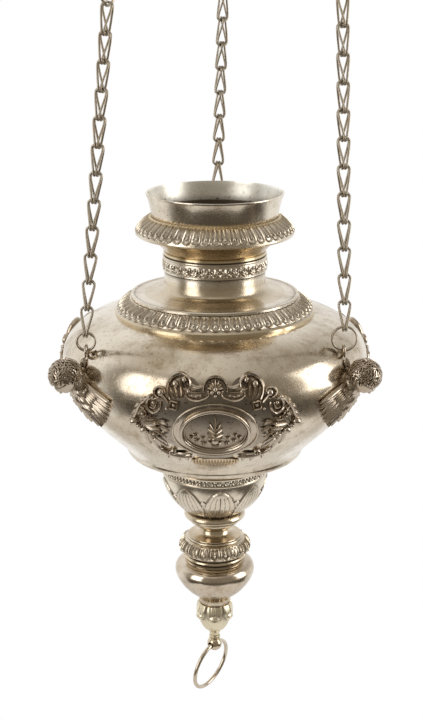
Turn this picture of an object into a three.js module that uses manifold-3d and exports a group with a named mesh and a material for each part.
// Hanging silver sanctuary censer on three loop-in-loop chains, in millimetres, +Z up.
// The origin is the centre of the cup's floor, on the lamp's own axis, and -Y is the front.

import * as THREE from 'three';
import { mergeVertices } from 'three/addons/utils/BufferGeometryUtils.js';
import Module from 'manifold-3d';

const wasm = await Module();
wasm.setup();

// General fits
const seatGap = 0.3;
const sheetWall = 1.4;
const wideFacets = 32;
const slimFacets = 20;
const wireFacets = 5;
const linkFacets = 4;
const vesselSteps = 5;

// Removable cup
const cupRimRadius = 43.1;
const cupRimHeight = 58.1;
const cupFootRadius = 39.3;
const cupFootHeight = 43.6;
const cupSleeveRadius = 29.2;
const cupWall = 1.2;
const cupShoulderDrop = 11;

// Gadrooned collar
const collarLipRadius = 49.6;
const collarLipHeight = 33.4;
const collarWall = 1.2;
const collarSeatDrop = 0.8;

// Neck with its flared foot
const neckRadius = 31.9;
const neckTop = 21.9;
const neckWall = 1.3;
const neckBandTop = 19.4;
const neckBandFoot = 9.7;
const neckBandRise = 0.8;
const neckDiscRadius = 53.1;
const neckDiscHeight = -7.2;

// Shoulder ring between the neck and the vessel
const shoulderRingRadius = 63.4;
const shoulderRingWall = 1.4;

// Vessel
const mouthRadius = 48;
const mouthHeight = -16.6;
const bellyRadius = 97.1;
const bellyHeight = -46;
const waistRadius = 58.2;
const waistHeight = -106;
const vesselFootRadius = 35.5;
const vesselFootHeight = -133;

// Pendant drop below the vessel
const bandDepth = 3.6;
const bowlFootRadius = 21.6;
const bowlFootHeight = -156.7;
const torusRadius = 2.2;
const spoolTopHeight = -162.2;
const spoolTopRadius = 18.4;
const spoolWaistRadius = 11.4;
const spoolFootHeight = -172;
const spoolFootRadius = 20.1;
const knopRadius = 24;
const knopFootHeight = -190;
const knopFootRadius = 20.2;
const bulbRadius = 26.4;
const bulbFootHeight = -221.7;
const bulbFootRadius = 9.6;
const acornRadius = 12;
const acornFootHeight = -248;
const acornStem = 2.9;
const ballRadius = 5.1;
const ballHeight = -254.9;

// Tie rod that clamps the drop to the vessel
const rodRadius = 2.5;
const rodClearance = 0.4;
const nutAcrossFlats = 10;
const nutThickness = 4;
const rodProud = 2;

// Pull ring
const pullRingRadius = 17.65;
const pullRingWire = 1.35;
const pullRingTurn = THREE.MathUtils.degToRad(-36);
const pullRingLean = THREE.MathUtils.degToRad(11);
const ringHoleRadius = 2.15;

// Chains
const linkPitch = 16;
const linksPerChain = 12;
const linkWire = 0.7;
const lobeHalfWidth = 3.3;
const lobeOffset = 0.85;
const strandOffset = 0.88;
const bendRadius = 2.95;
const crestDrop = 0.5;
const crestSlope = 0.4;
const linkTwist = THREE.MathUtils.degToRad(2.5);
const hookPoint = new THREE.Vector3(40, 70, 1360);

// Lugs, lug rings and top rings
const frontLugRadius = 93.4;
const rearLugRadius = 94;
const lugHeight = -28.5;
const frontLugAzimuth = 56;
const lugWire = 1;
const frontLugHole = 2.2;
const rearLugHole = 1.8;
const leftLugRingRadius = 5.5;
const rightLugRingRadius = 7.4;
const rearLugRingRadius = 5.8;
const lugRingWire = 0.6;
const lugRingTurnPitch = 1.65;
const lugRingStart = 40;
const lugRingEnd = 680;
const lugRingStep = 25.6;
const lugRingCrossing = [320, 400];
const topRingRadius = 7.1;
const topRingWire = 0.9;
const topRingFacets = 18;
const looseGap = 0.6;

// Cherub mounts and cartouches
const headRadius = 10.5;
const headReach = 109;
const headHeight = -47.5;
const chestRadius = 8;
const chestOverlap = 2.3;
const noseRadius = 1.7;
const noseLength = 4.4;
const strapWidth = 5;
const strapDepth = 16;
const strapLength = 24;
const wingSpan = 28;
const wingDrop = 33.5;
const wingThickness = 3;
const medallionHalfWidth = 19.2;
const medallionHalfHeight = 15;
const medallionHeight = -62.3;
const cartoucheHalfWidth = 47;
const cartoucheHalfHeight = 31.8;
const cartoucheThickness = 2.2;
const rimThickness = 4;
const ovalSteps = 8;
const mountInnerReach = 45;
const mountOuterReach = 125;

const silver = { color: 0xb9b2a4, roughness: 0.34, metalness: 0.95 };
const darkSilver = { color: 0x8f887a, roughness: 0.45, metalness: 0.92 };
const gilt = { color: 0xb59a66, roughness: 0.36, metalness: 0.95 };

const censer = new THREE.Group();

function vec2(x, y) {
  return new THREE.Vector2(x, y);
}

// Merges shared vertices, drops collapsed triangles and turns the faces outward.
function closedSurface(geometry) {
  const bare = geometry.index ? geometry.toNonIndexed() : geometry.clone();
  for (const name of Object.keys(bare.attributes)) {
    if (name !== 'position') bare.deleteAttribute(name);
  }
  const merged = mergeVertices(bare, 1e-3);
  const position = merged.attributes.position;
  const corner = [new THREE.Vector3(), new THREE.Vector3(), new THREE.Vector3()];
  const kept = [];
  let volume = 0;
  for (let i = 0; i < merged.index.count; i += 3) {
    const [a, b, c] = [0, 1, 2].map((k) => merged.index.getX(i + k));
    if (a === b || b === c || c === a) continue;
    corner.forEach((point, k) => point.fromBufferAttribute(position, [a, b, c][k]));
    volume += corner[0].dot(corner[1].clone().cross(corner[2]));
    kept.push([a, b, c]);
  }
  const indices = kept.flatMap(([a, b, c]) => (volume < 0 ? [a, c, b] : [a, b, c]));
  const surface = new THREE.BufferGeometry();
  surface.setAttribute('position', position);
  surface.setIndex(indices);
  return surface;
}

function toSolid(geometry) {
  const surface = closedSurface(geometry);
  const mesh = new wasm.Mesh({
    numProp: 3,
    vertProperties: new Float32Array(surface.attributes.position.array),
    triVerts: new Uint32Array(surface.index.array),
  });
  return new wasm.Manifold(mesh);
}

function fromSolid(solid) {
  const mesh = solid.getMesh();
  const geometry = new THREE.BufferGeometry();
  geometry.setAttribute('position', new THREE.BufferAttribute(mesh.vertProperties, 3));
  geometry.setIndex(new THREE.BufferAttribute(mesh.triVerts, 1));
  return geometry;
}

function addPiece(name, geometry, finish) {
  const surface = closedSurface(geometry);
  surface.computeVertexNormals();
  const mesh = new THREE.Mesh(surface, new THREE.MeshStandardMaterial(finish));
  mesh.name = name;
  censer.add(mesh);
  return mesh;
}

// Turns a closed (radius, height) outline about the vertical axis.
function revolve(outline, facets) {
  const closed = outline[0].equals(outline.at(-1)) ? outline : [...outline, outline[0]];
  return new THREE.LatheGeometry(closed, facets).rotateX(Math.PI / 2);
}

// Moves an outline sideways: outward for a positive distance on an outline drawn downward.
function offsetOutline(points, distance) {
  return points.map((point, i) => {
    const before = points[Math.max(i - 1, 0)];
    const after = points[Math.min(i + 1, points.length - 1)];
    const along = after.clone().sub(before).normalize();
    return vec2(Math.max(point.x - along.y * distance, 0), point.y + along.x * distance);
  });
}

// Spun sheet: an outer outline and, with fewer steps, the same outline one wall further in.
function spunSheet(outline, wall, outerSteps, innerSteps) {
  return [...outline(outerSteps), ...offsetOutline(outline(innerSteps), -wall).reverse()];
}

// Round wire section with few sides, drawn so that its area is near the real wire's.
function wireSection(radius) {
  const corners = [];
  for (let side = 0; side < wireFacets; side += 1) {
    const angle = (2 * Math.PI * side) / wireFacets;
    corners.push(vec2(radius * Math.cos(angle), radius * Math.sin(angle)));
  }
  return new THREE.Shape(corners);
}

// A curve that runs through given places, so that its facets fall exactly there.
class Waypoints extends THREE.Curve {
  constructor(places, closed) {
    super();
    this.places = places;
    this.closed = closed;
  }

  getPoint(t) {
    const spans = this.closed ? this.places.length : this.places.length - 1;
    const at = t * spans;
    const first = Math.min(Math.floor(at + 1e-9), this.closed ? spans : spans - 1);
    const from = this.places[first % this.places.length];
    const to = this.places[(first + 1) % this.places.length];
    return from.clone().lerp(to, Math.max(at - first, 0));
  }

  getPointAt(u) {
    return this.getPoint(u);
  }

  getTangent(t) {
    const step = 0.5 / this.places.length;
    const before = this.closed ? (t - step + 1) % 1 : Math.max(t - step, 0);
    const after = this.closed ? (t + step) % 1 : Math.min(t + step, 1);
    return this.getPoint(after).sub(this.getPoint(before)).normalize();
  }

  getTangentAt(u) {
    return this.getTangent(u);
  }
}

// Removable cup: flared wall, shoulder that seats in the collar, sleeve and floor
function makeCup() {
  const outer = new THREE.Path();
  outer.moveTo(cupRimRadius, cupRimHeight);
  outer.quadraticCurveTo(cupRimRadius - 2.6, cupRimHeight - 3, cupFootRadius + 0.9, cupFootHeight + 4);
  outer.lineTo(cupFootRadius, cupFootHeight);
  const shoulderFoot = cupFootHeight - cupShoulderDrop;
  outer.quadraticCurveTo(cupSleeveRadius, cupFootHeight - 4, cupSleeveRadius, shoulderFoot);
  outer.lineTo(cupSleeveRadius, -cupWall);
  outer.lineTo(0, -cupWall);
  const inner = new THREE.Path();
  inner.moveTo(0, 0);
  inner.lineTo(cupSleeveRadius - cupWall, 0);
  inner.lineTo(cupSleeveRadius - cupWall, shoulderFoot + 0.6);
  inner.quadraticCurveTo(
    cupSleeveRadius - cupWall, cupFootHeight - 2.6,
    cupFootRadius - cupWall, cupFootHeight + 0.9,
  );
  inner.lineTo(cupFootRadius + 0.9 - cupWall, cupFootHeight + 4.2);
  inner.quadraticCurveTo(cupRimRadius - 3.7, cupRimHeight - 2.8, cupRimRadius - cupWall, cupRimHeight);
  return revolve([...outer.getPoints(2), ...inner.getPoints(2)], wideFacets);
}

// Collar: a spun sheet ring whose mouth takes the cup's shoulder and whose foot stands on the neck
function makeCollar() {
  const innerRadius = cupFootRadius + 0.1;
  const outer = new THREE.Path();
  outer.moveTo(innerRadius, cupFootHeight - collarSeatDrop);
  outer.lineTo(innerRadius + 1.7, cupFootHeight - collarSeatDrop + 0.2);
  outer.quadraticCurveTo(collarLipRadius - 1, collarLipHeight + 5.4, collarLipRadius, collarLipHeight + 0.8);
  outer.lineTo(collarLipRadius - 0.2, collarLipHeight - 1);
  outer.quadraticCurveTo(neckRadius + 5, collarLipHeight - 3.4, neckRadius, neckTop + seatGap);
  return revolve(spunSheet((steps) => outer.getPoints(steps), collarWall, 3, 2), wideFacets);
}

function makeNeck() {
  const outer = new THREE.Path();
  outer.moveTo(neckRadius, neckTop);
  outer.lineTo(neckRadius, neckBandTop);
  outer.lineTo(neckRadius + neckBandRise, neckBandTop - 0.8);
  outer.lineTo(neckRadius + neckBandRise, neckBandFoot + 0.8);
  outer.lineTo(neckRadius, neckBandFoot);
  outer.lineTo(neckRadius, 3);
  outer.bezierCurveTo(neckRadius, -2.6, neckRadius + 4, -4.6, neckRadius + 12, -5.2);
  outer.lineTo(neckDiscRadius - 2.4, -5.8);
  outer.lineTo(neckDiscRadius - 1, -5.2);
  outer.lineTo(neckDiscRadius, -5.8);
  outer.lineTo(neckDiscRadius, neckDiscHeight);
  const inner = new THREE.Path();
  inner.moveTo(neckDiscRadius - 2, neckDiscHeight);
  inner.lineTo(neckRadius + 11.6, -5.2 - neckWall);
  inner.bezierCurveTo(neckRadius + 3, -4.6 - neckWall, neckRadius - neckWall, -3, neckRadius - neckWall, 2.4);
  inner.lineTo(neckRadius - neckWall, neckTop);
  return revolve([...outer.getPoints(3), ...inner.getPoints(2)], wideFacets);
}

// Height of the vessel's outer surface at a radius on its upper shoulder
function shoulderHeight(radius) {
  const points = vesselOutline(24);
  const after = points.findIndex((point) => point.x >= radius);
  const [from, to] = [points[after - 1], points[after]];
  return THREE.MathUtils.mapLinear(radius, from.x, to.x, from.y, to.y);
}

function makeShoulderRing() {
  const top = neckDiscHeight - seatGap;
  const foot = shoulderHeight(shoulderRingRadius) + seatGap;
  const innerFoot = shoulderHeight(shoulderRingRadius - 2.4) + seatGap;
  const outline = new THREE.Path();
  outline.moveTo(neckDiscRadius - 2.6, top);
  outline.lineTo(neckDiscRadius + 0.3, top);
  outline.quadraticCurveTo(shoulderRingRadius - 3.4, top - 3, shoulderRingRadius - 1.6, top - 7.2);
  outline.lineTo(shoulderRingRadius, top - 8.2);
  outline.lineTo(shoulderRingRadius, foot);
  outline.lineTo(shoulderRingRadius - 2.4, innerFoot);
  outline.lineTo(shoulderRingRadius - 1.8 - shoulderRingWall, top - 7.4);
  outline.lineTo(neckDiscRadius - 2.6, top - shoulderRingWall);
  return revolve(outline.getPoints(3), wideFacets);
}

// Outer outline of the vessel from its mouth, over the shoulder and belly, to the foot
function vesselOutline(steps) {
  const outline = new THREE.Path();
  outline.moveTo(mouthRadius, mouthHeight);
  outline.bezierCurveTo(
    mouthRadius + 23, mouthHeight,
    bellyRadius, bellyHeight + 22.5,
    bellyRadius, bellyHeight,
  );
  outline.bezierCurveTo(
    bellyRadius, bellyHeight - 28,
    waistRadius + 11.8, waistHeight + 16,
    waistRadius, waistHeight,
  );
  outline.bezierCurveTo(
    waistRadius + 1.3, waistHeight - 9,
    vesselFootRadius + 10.5, vesselFootHeight + 8.5,
    vesselFootRadius, vesselFootHeight,
  );
  return outline.getPoints(steps);
}

function makeVessel() {
  const bore = rodRadius + rodClearance;
  const outline = (steps) => [...vesselOutline(steps), vec2(bore, vesselFootHeight)];
  return revolve(spunSheet(outline, sheetWall, vesselSteps, 3), wideFacets);
}

// The vessel's bulk, grown by a distance: cuts the backs of what is soldered on it
function grownVessel(distance) {
  const skin = offsetOutline(vesselOutline(vesselSteps), distance);
  const outline = [vec2(0, skin[0].y), ...skin, vec2(0, skin.at(-1).y)];
  return toSolid(revolve(outline, wideFacets));
}

function makeBaseBowl() {
  const bore = rodRadius + rodClearance;
  const top = vesselFootHeight - seatGap;
  const outline = new THREE.Path();
  outline.moveTo(bore, top);
  outline.lineTo(vesselFootRadius, top);
  outline.lineTo(vesselFootRadius - 0.4, top - bandDepth);
  outline.lineTo(vesselFootRadius - 1.8, top - bandDepth - 0.6);
  outline.bezierCurveTo(
    vesselFootRadius - 4.6, top - bandDepth - 6,
    bowlFootRadius + 4, bowlFootHeight + 5,
    bowlFootRadius - 1, bowlFootHeight,
  );
  const torusHeight = bowlFootHeight - torusRadius - 0.6;
  outline.absarc(bowlFootRadius - 2.4, torusHeight, torusRadius, Math.PI / 2, -Math.PI / 2, true);
  outline.lineTo(bore, torusHeight - torusRadius);
  return revolve(outline.getPoints(2), wideFacets);
}

function makeSpool() {
  const bore = rodRadius + rodClearance;
  const outline = new THREE.Path();
  outline.moveTo(bore, spoolTopHeight);
  outline.lineTo(spoolTopRadius, spoolTopHeight);
  outline.bezierCurveTo(
    spoolWaistRadius + 1, spoolTopHeight - 1.4,
    spoolWaistRadius - 2.2, spoolTopHeight - 6.4,
    spoolWaistRadius + 2.4, spoolFootHeight + 2.2,
  );
  outline.lineTo(spoolFootRadius, spoolFootHeight + 1);
  outline.lineTo(spoolFootRadius, spoolFootHeight);
  outline.lineTo(bore, spoolFootHeight);
  return revolve(outline.getPoints(4), slimFacets);
}

// Knop: full at its upper third, with a beaded edge on top and a step at its foot
function makeKnop() {
  const bore = rodRadius + rodClearance;
  const top = spoolFootHeight - seatGap;
  const outline = new THREE.Path();
  outline.moveTo(bore, top);
  outline.lineTo(spoolFootRadius + 0.7, top);
  outline.lineTo(spoolFootRadius + 1.2, top - 1.6);
  outline.quadraticCurveTo(knopRadius + 1.4, top - 8, knopFootRadius + 2.2, knopFootHeight + 4.6);
  outline.lineTo(knopFootRadius + 0.6, knopFootHeight + 2);
  outline.lineTo(knopFootRadius, knopFootHeight);
  outline.lineTo(bore, knopFootHeight);
  return revolve(outline.getPoints(4), slimFacets);
}

function makeBulb() {
  const bore = rodRadius + rodClearance;
  const top = knopFootHeight - seatGap;
  const outline = new THREE.Path();
  outline.moveTo(bore, top);
  outline.lineTo(knopFootRadius + 0.4, top);
  outline.bezierCurveTo(
    bulbRadius + 2.4, top - 2.8,
    bulbRadius + 1.4, top - 12,
    bulbFootRadius + 7.6, bulbFootHeight + 7.6,
  );
  outline.quadraticCurveTo(bulbFootRadius + 0.6, bulbFootHeight + 3, bulbFootRadius, bulbFootHeight);
  outline.lineTo(bore, bulbFootHeight);
  return revolve(outline.getPoints(4), slimFacets);
}

// Height of the floor inside the vessel, where the nut bears
function vesselFloor() {
  return vesselFootHeight + sheetWall;
}

// Direction in which the pull ring's wire runs through the ball
const ringHoleTurn = pullRingTurn + Math.PI / 2;
const ringHoleAxis = new THREE.Vector3(Math.cos(ringHoleTurn), Math.sin(ringHoleTurn), 0);

// Acorn finial, cut from one piece with the tie rod above it and the drilled ball below it
function makeAcorn() {
  const top = bulbFootHeight - seatGap;
  const rodTop = vesselFloor() + nutThickness + seatGap + rodProud;
  const outline = new THREE.Path();
  outline.moveTo(0, rodTop);
  outline.lineTo(rodRadius, rodTop);
  outline.lineTo(rodRadius, top);
  outline.lineTo(bulbFootRadius + 0.2, top);
  outline.bezierCurveTo(
    acornRadius + 1.2, top - 3.4,
    acornRadius + 1.4, top - 13,
    acornRadius - 4.4, acornFootHeight + 6,
  );
  outline.quadraticCurveTo(acornStem + 0.5, acornFootHeight + 3.4, acornStem, acornFootHeight - 2);
  const waist = outline.getPoints(3);
  const startAngle = Math.acos(acornStem / ballRadius);
  const ball = new THREE.Path();
  ball.absarc(0, ballHeight, ballRadius, startAngle, -Math.PI / 2, true);
  const points = [...waist, ...ball.getPoints(3).slice(0, -1), vec2(0, ballHeight - ballRadius)];
  const body = toSolid(revolve([...points, points[0]], slimFacets));
  const hole = new THREE.CylinderGeometry(ringHoleRadius, ringHoleRadius, 4 * ballRadius, 8);
  const turn = new THREE.Quaternion().setFromUnitVectors(new THREE.Vector3(0, 1, 0), ringHoleAxis);
  hole.applyQuaternion(turn).translate(0, 0, ballHeight);
  return fromSolid(body.subtract(toSolid(hole)));
}

function makeNut() {
  const corner = nutAcrossFlats / Math.sqrt(3);
  const shape = new THREE.Shape();
  for (let side = 0; side < 6; side += 1) {
    const angle = (side * Math.PI) / 3;
    const point = vec2(corner * Math.cos(angle), corner * Math.sin(angle));
    if (side === 0) shape.moveTo(point.x, point.y);
    else shape.lineTo(point.x, point.y);
  }
  shape.closePath();
  const bore = new THREE.Path();
  bore.absarc(0, 0, rodRadius + seatGap, 0, 2 * Math.PI, true);
  shape.holes.push(bore);
  const options = { depth: nutThickness, bevelEnabled: false, curveSegments: 6 };
  return new THREE.ExtrudeGeometry(shape, options).translate(0, 0, vesselFloor() + seatGap);
}

// Pull ring, leaning as it hangs in the ball's hole
function makePullRing() {
  const ring = new THREE.TorusGeometry(pullRingRadius, pullRingWire, 6, 24);
  ring.rotateX(Math.PI / 2).translate(0, 0, -pullRingRadius).rotateX(pullRingLean);
  return ring.rotateZ(ringHoleTurn).translate(0, 0, ballHeight);
}

// One folded loop of wire: two lobes above, and below them a narrow waist that bends under the lobes
// of the link below. Its origin is the centre of that bend. A quarter of the loop is listed and mirrored.
function linkPlaces() {
  const crest = linkPitch - crestDrop;
  const quarter = [
    [0, lobeOffset, crest],
    [lobeHalfWidth - 0.8, lobeOffset, crest - crestSlope * (lobeHalfWidth - 0.8)],
    [lobeHalfWidth, lobeOffset, crest - 4],
    [strandOffset, bendRadius, 0],
    [strandOffset, bendRadius * Math.SQRT1_2, -bendRadius * Math.SQRT1_2],
    [strandOffset, 0, -bendRadius],
  ];
  const places = [];
  const walk = (sideX, sideY, order) => {
    for (const i of order) {
      const [across, along, height] = quarter[i];
      places.push(new THREE.Vector3(sideX * across, sideY * along, height));
    }
  };
  walk(1, -1, [0, 1, 2, 3, 4]);
  walk(1, 1, [5, 4, 3, 2, 1]);
  walk(-1, 1, [0, 1, 2, 3, 4]);
  walk(-1, -1, [5, 4, 3, 2, 1]);
  return places;
}

function makeLink() {
  const places = linkPlaces();
  return new THREE.TubeGeometry(new Waypoints(places, true), places.length, linkWire, linkFacets, true);
}

// Split ring: one wire that goes round nearly twice and crosses over at its side.
// It lies in the XZ plane about its centre.
function splitRingPlaces(radius) {
  const places = [];
  for (let angle = lugRingStart; angle <= lugRingEnd; angle += lugRingStep) {
    const share = THREE.MathUtils.smoothstep(angle, ...lugRingCrossing);
    const turn = THREE.MathUtils.degToRad(angle);
    const along = (share - 0.5) * lugRingTurnPitch;
    places.push(new THREE.Vector3(radius * Math.cos(turn), along, radius * Math.sin(turn)));
  }
  return places;
}

// Least gap between stretches of one wire that lie at least a few wire widths apart along it
function leastGap(places, wire) {
  const curve = new THREE.CatmullRomCurve3(places);
  const samples = 400;
  const fine = curve.getSpacedPoints(samples);
  const apart = Math.ceil((8 * wire * samples) / curve.getLength());
  let least = Infinity;
  for (let i = 0; i < fine.length; i += 1) {
    for (let j = i + apart; j < fine.length; j += 1) {
      least = Math.min(least, fine[i].distanceTo(fine[j]));
    }
  }
  return least - 2 * wire;
}

function makeSplitRing(radius) {
  const places = splitRingPlaces(radius);
  const gap = leastGap(places, lugRingWire);
  console.log(`split ring of radius ${radius.toFixed(2)}: least gap ${gap.toFixed(2)}`);
  const path = new Waypoints(places, false);
  const options = { steps: places.length - 1, extrudePath: path, bevelEnabled: false };
  return new THREE.ExtrudeGeometry(wireSection(lugRingWire), options);
}

// Each hanger: where its lug stands, how large its lug ring is, and whether its links hang upside down
const frontHanger = { reach: frontLugRadius, eyeHole: frontLugHole, inverted: false };
const rearHanger = { reach: rearLugRadius, eyeHole: rearLugHole, inverted: true };
const hangers = [
  { ...frontHanger, side: 'left', azimuth: -frontLugAzimuth, ringRadius: leftLugRingRadius, twist: -1 },
  { ...frontHanger, side: 'right', azimuth: frontLugAzimuth, ringRadius: rightLugRingRadius, twist: 1 },
  { ...rearHanger, side: 'rear', azimuth: 180, ringRadius: rearLugRingRadius, twist: 1 },
];

function lugPlace(azimuth, reach) {
  const turn = THREE.MathUtils.degToRad(azimuth);
  return new THREE.Vector3(reach * Math.sin(turn), -reach * Math.cos(turn), lugHeight);
}

function makeHanger({ side, azimuth, reach, ringRadius, inverted, twist }) {
  const eye = lugPlace(azimuth, reach);
  const ringTop = eye.z + 2 * ringRadius;
  const crestRise = (lugRingTurnPitch / 2) * crestSlope;
  const hold = inverted ? -(crestDrop + linkWire + lugRingWire + looseGap + crestRise) : crestDrop;
  const firstJoint = new THREE.Vector3(eye.x, eye.y, ringTop + hold);
  const direction = hookPoint.clone().sub(firstJoint).normalize();
  const lean = new THREE.Quaternion().setFromUnitVectors(new THREE.Vector3(0, 0, 1), direction);

  const lugRing = addPiece(`${side}_lug_ring`, makeSplitRing(ringRadius), darkSilver);
  lugRing.position.set(eye.x, eye.y, eye.z + ringRadius);
  if (inverted) lugRing.rotation.z = Math.PI / 2;

  const yawAt = (index) => twist * linkTwist * index;
  for (let index = 0; index < linksPerChain; index += 1) {
    const name = `${side}_chain_link_${String(index + 1).padStart(2, '0')}`;
    const link = addPiece(name, makeLink(), darkSilver);
    const yaw = new THREE.Quaternion().setFromAxisAngle(new THREE.Vector3(0, 0, 1), yawAt(index));
    link.quaternion.copy(lean).multiply(yaw);
    if (inverted) {
      const flip = new THREE.Quaternion().setFromAxisAngle(new THREE.Vector3(1, 0, 0), Math.PI);
      link.quaternion.multiply(flip);
    }
    const joint = inverted ? index + 1 : index;
    link.position.copy(firstJoint).addScaledVector(direction, joint * linkPitch);
  }

  const topHold = inverted ? crestDrop : -(crestDrop + linkWire + topRingWire + looseGap);
  const topRingShape = new THREE.TorusGeometry(topRingRadius, topRingWire, wireFacets, topRingFacets);
  const topRing = addPiece(`${side}_top_ring`, topRingShape, darkSilver);
  const ringHeight = linksPerChain * linkPitch + topHold + topRingRadius;
  const upright = new THREE.Quaternion().setFromEuler(new THREE.Euler(Math.PI / 2, 0, 0));
  const ringTurn = yawAt(linksPerChain - 1) + (inverted ? 0 : Math.PI / 2);
  const yaw = new THREE.Quaternion().setFromAxisAngle(new THREE.Vector3(0, 0, 1), ringTurn);
  topRing.quaternion.copy(lean).multiply(yaw).multiply(upright);
  topRing.position.copy(firstJoint).addScaledVector(direction, ringHeight);
}

// A flat outline in (sideways, height), pushed through the vessel's front wall
function frontPrism(shape, curveSegments = 3) {
  const options = { depth: mountOuterReach - mountInnerReach, bevelEnabled: false, curveSegments };
  return new THREE.ExtrudeGeometry(shape, options).rotateX(Math.PI / 2).translate(0, -mountInnerReach, 0);
}

function toAzimuth(geometry, azimuth) {
  return geometry.rotateZ(THREE.MathUtils.degToRad(azimuth));
}

// Feathered wing, as shares of its span and drop: its tips fan from sideways to straight down
function wingShape(side) {
  const outline = [
    [0, 0.22], [0.32, 0.16], [1, -0.09], [0.96, -0.19], [0.79, -0.24], [0.82, -0.37], [0.64, -0.39],
    [0.64, -0.57], [0.48, -0.55], [0.45, -0.78], [0.3, -0.73], [0.21, -1], [0.07, -0.88], [-0.02, -0.61],
  ];
  const place = ([across, rise]) => vec2(side * across * wingSpan, headHeight + rise * wingDrop);
  return new THREE.Shape(outline.map(place));
}

// Winged cherub head with the lug eye that carries one chain
function makeCherub(reach, eyeHole, eyeAlongRadius) {
  const head = new THREE.SphereGeometry(headRadius, 10, 8).scale(0.93, 1, 1.06);
  head.rotateX(0.5).translate(0, -headReach, headHeight);
  const chestReach = (headReach + bellyRadius) / 2 - chestOverlap;
  const chestDepth = (headReach - bellyRadius) / 2 + chestOverlap;
  const chest = new THREE.SphereGeometry(1, 8, 5).scale(1.05 * chestRadius, chestDepth, 1.1 * chestRadius);
  chest.translate(0, -chestReach, headHeight - chestRadius);
  const nose = new THREE.ConeGeometry(noseRadius, noseLength, 6).rotateX(-0.35);
  nose.translate(0, -headReach - 0.94 * headRadius, headHeight - 0.4 * headRadius);
  const eye = new THREE.TorusGeometry(eyeHole + lugWire, lugWire, wireFacets, 12);
  if (eyeAlongRadius) eye.rotateX(Math.PI / 2);
  else eye.rotateY(Math.PI / 2);
  eye.translate(0, -reach, lugHeight);
  const strap = new THREE.BoxGeometry(strapWidth, strapDepth, strapLength);
  strap.translate(0, -reach - strapDepth / 5, lugHeight - 0.6 * strapLength);
  return { head, chest, nose, eye, strap };
}

function joinCherub(azimuth, reach, eyeHole, eyeAlongRadius) {
  const { head, chest, nose, eye, strap } = makeCherub(reach, eyeHole, eyeAlongRadius);
  if (!eyeAlongRadius) {
    const turn = THREE.MathUtils.degToRad(-azimuth);
    eye.translate(0, reach, 0).rotateZ(turn).translate(0, -reach, 0);
  }
  const skin = grownVessel(wingThickness);
  const wings = [-1, 1]
    .map((side) => toSolid(toAzimuth(frontPrism(wingShape(side)), azimuth)))
    .reduce((both, wing) => both.add(wing));
  const strapOnSkin = toSolid(toAzimuth(strap, azimuth)).intersect(skin);
  let solid = wings.intersect(skin).add(strapOnSkin);
  for (const piece of [head, chest, nose, eye]) solid = solid.add(toSolid(toAzimuth(piece, azimuth)));
  return fromSolid(solid.subtract(grownVessel(seatGap)));
}

// Scrolled frame of the cartouche: its right half, as shares of its half width and half height
function cartoucheShape() {
  const half = [
    [0, 1], [0.11, 0.95], [0.17, 0.8], [0.28, 0.97], [0.43, 0.97], [0.53, 0.8], [0.72, 0.62], [0.79, 0.39],
    [1, 0.17], [0.98, -0.05], [0.77, -0.15], [0.62, -0.4], [0.43, -0.56], [0.23, -0.65], [0.21, -0.9],
  ];
  const place = ([across, rise]) =>
    vec2(across * cartoucheHalfWidth, medallionHeight + rise * cartoucheHalfHeight);
  const right = half.map(place);
  const left = right.slice(1).map((point) => vec2(-point.x, point.y)).reverse();
  return new THREE.Shape([...right, ...left]);
}

function ovalShape(grow) {
  const shape = new THREE.Shape();
  const [halfWidth, halfHeight] = [medallionHalfWidth + grow, medallionHalfHeight + grow];
  shape.absellipse(0, medallionHeight, halfWidth, halfHeight, 0, 2 * Math.PI, false, 0);
  return shape;
}

function makeCartouche(azimuth) {
  const prism = (shape, steps) => toSolid(toAzimuth(frontPrism(shape, steps), azimuth));
  const plate = prism(cartoucheShape()).intersect(grownVessel(cartoucheThickness));
  const rim = prism(ovalShape(1), ovalSteps).intersect(grownVessel(rimThickness));
  const sunk = prism(ovalShape(-1.6), ovalSteps).subtract(grownVessel(cartoucheThickness));
  return fromSolid(plate.add(rim.subtract(sunk)).subtract(grownVessel(seatGap)));
}

addPiece('cup', makeCup(), silver);
addPiece('collar', makeCollar(), silver);
addPiece('neck', makeNeck(), gilt);
addPiece('shoulder_ring', makeShoulderRing(), silver);
addPiece('vessel_body', makeVessel(), silver);
addPiece('base_bowl', makeBaseBowl(), silver);
addPiece('stem_spool', makeSpool(), gilt);
addPiece('gadroon_knop', makeKnop(), gilt);
addPiece('drop_bulb', makeBulb(), silver);
addPiece('acorn_finial', makeAcorn(), gilt);
addPiece('rod_nut', makeNut(), darkSilver);
addPiece('pull_ring', makePullRing(), silver);

for (const { side, azimuth, reach, eyeHole, inverted } of hangers) {
  addPiece(`${side}_cherub`, joinCherub(azimuth, reach, eyeHole, inverted), darkSilver);
}
for (const hanger of hangers) makeHanger(hanger);

const cartoucheAzimuths = {
  front: 0,
  left: -(180 + frontLugAzimuth) / 2,
  right: (180 + frontLugAzimuth) / 2,
};
for (const [side, azimuth] of Object.entries(cartoucheAzimuths)) {
  addPiece(`${side}_cartouche`, makeCartouche(azimuth), darkSilver);
}

export default censer;
